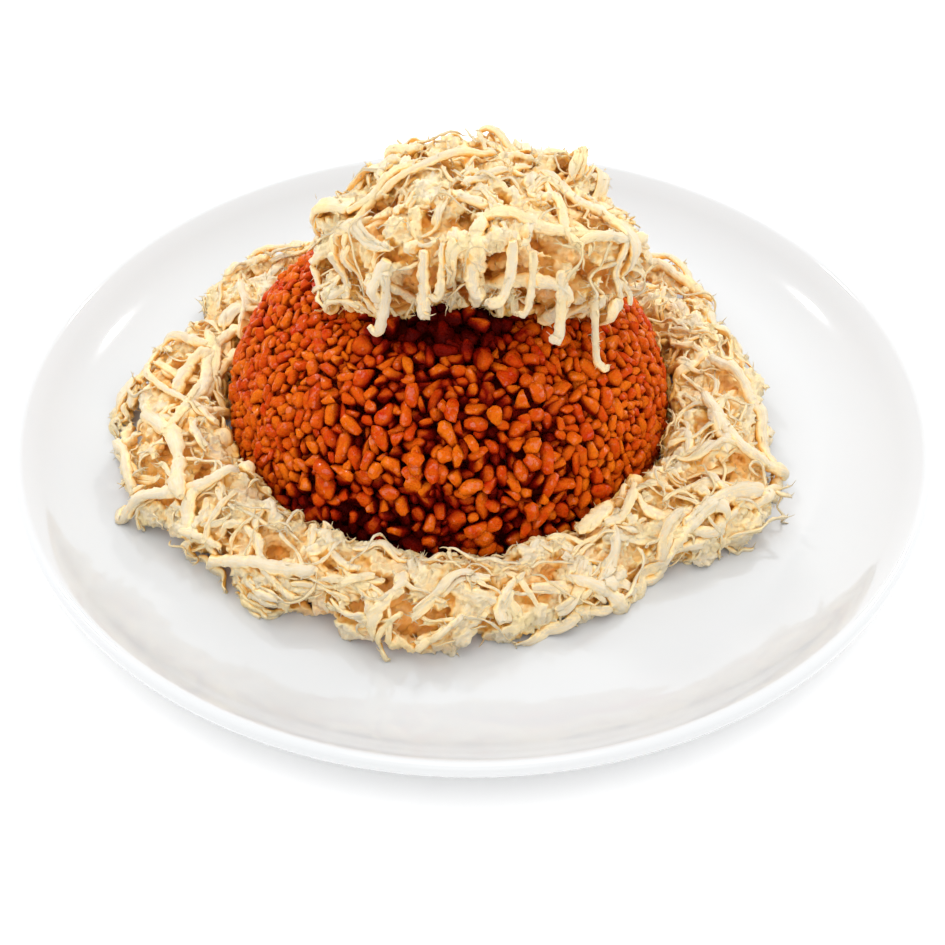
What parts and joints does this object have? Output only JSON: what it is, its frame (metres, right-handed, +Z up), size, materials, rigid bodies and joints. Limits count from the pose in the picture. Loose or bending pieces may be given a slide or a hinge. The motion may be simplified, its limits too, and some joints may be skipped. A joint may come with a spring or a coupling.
{
  "type": "bulgur pilaf with pulled chicken on a plate",
  "caption": "Domed mound of cooked bulgur on a white coupe plate, ringed and crowned with pulled chicken.",
  "frame": {"origin": "centre of the plate's foot ring, on the table", "axes": "+Z up, -Y towards the diner, +X to the diner's right"},
  "size_m": [0.27, 0.27, 0.0996],
  "materials": {
    "glaze": "clear gloss glaze",
    "bulgur": "moist and oily",
    "chicken": "moist and fibrous"
  },
  "bodies": {
    "root": {"plate": "glaze", "bulgur_mound": "bulgur", "chicken_ring": "chicken", "chicken_heap": "chicken"}
  },
  "joints": []
}
